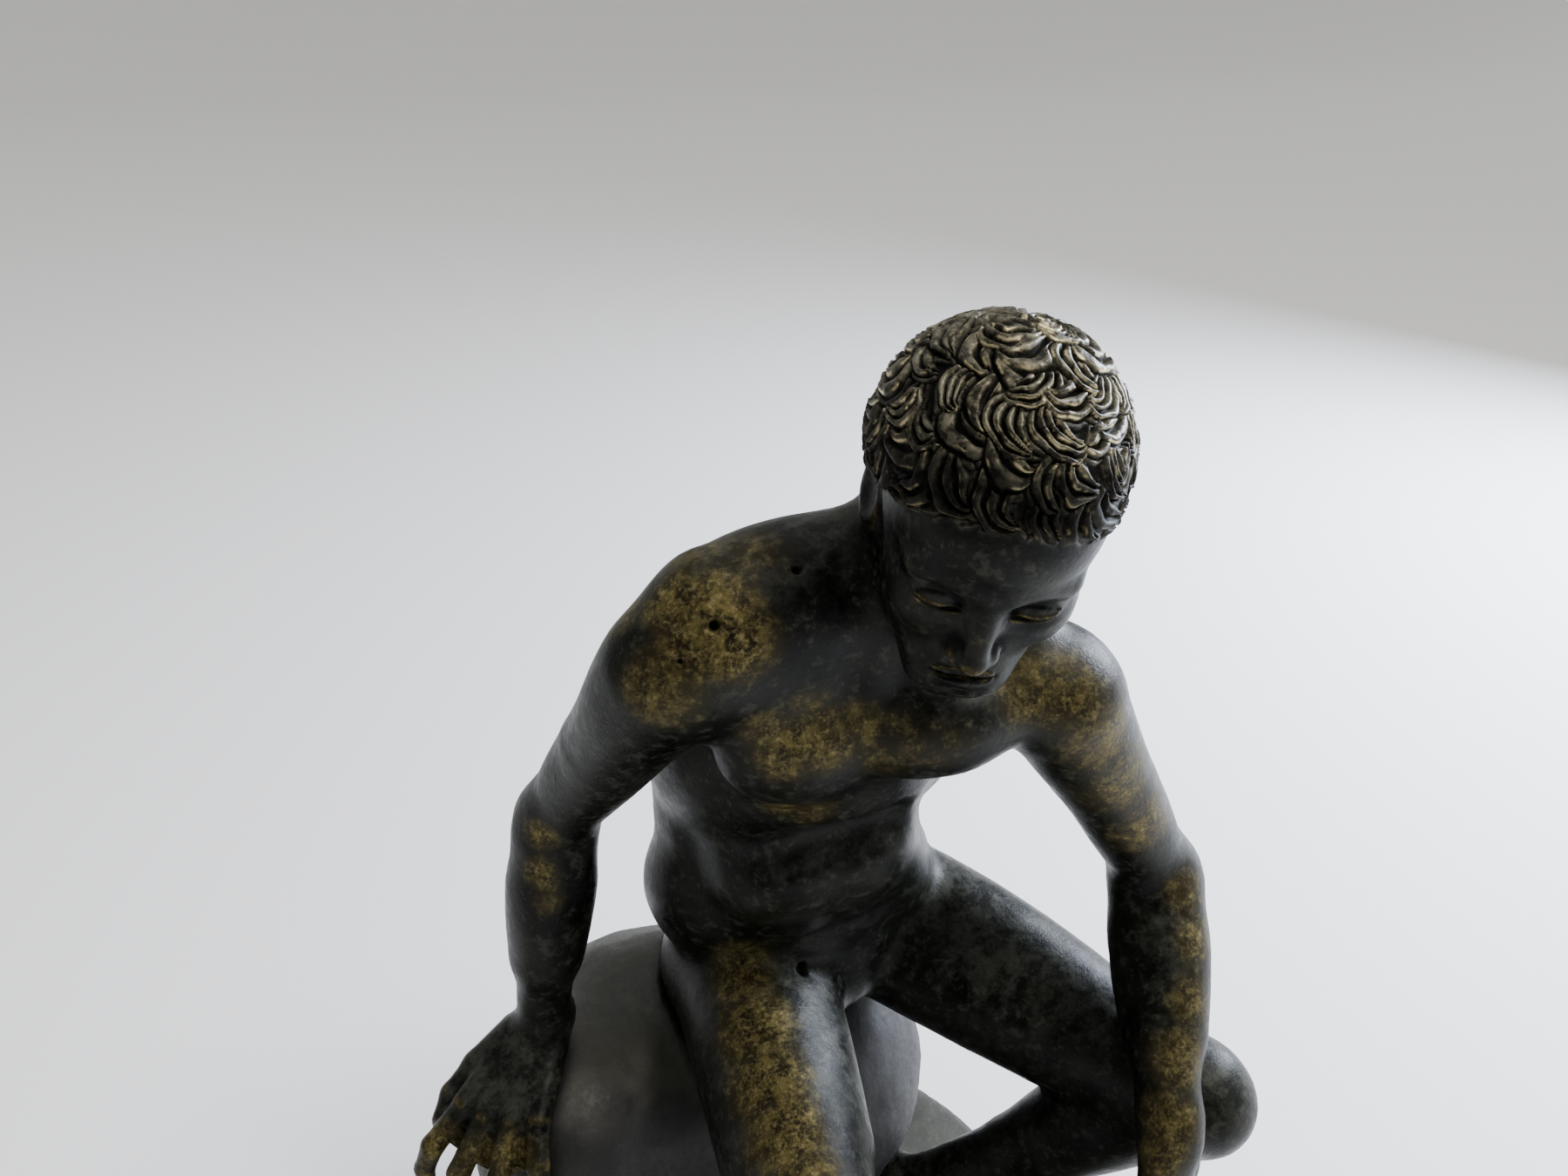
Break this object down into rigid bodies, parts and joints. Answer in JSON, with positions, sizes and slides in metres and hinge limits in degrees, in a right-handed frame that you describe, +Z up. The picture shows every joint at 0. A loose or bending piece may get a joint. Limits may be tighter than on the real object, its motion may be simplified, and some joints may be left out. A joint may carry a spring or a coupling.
{
  "type": "seated figure statuette",
  "caption": "Bronze statuette of a seated youth leaning forward, one hand on the rounded boulder under him, on a low oval base with a flat underside.",
  "frame": {"origin": "on the underside of the base, where its two axes cross", "axes": "+Z up; the youth's hips face -Y and the youth's left side is towards +X"},
  "size_m": [0.1598, 0.1762, 0.242],
  "materials": {
    "figure_bronze": "cast bronze, near-black glossy patina rubbed to golden brown on the raised parts",
    "rock_bronze": "cast bronze, duller olive-brown patina"
  },
  "bodies": {
    "root": {"seated_youth": "figure_bronze", "rock_base": "rock_bronze"}
  },
  "joints": []
}
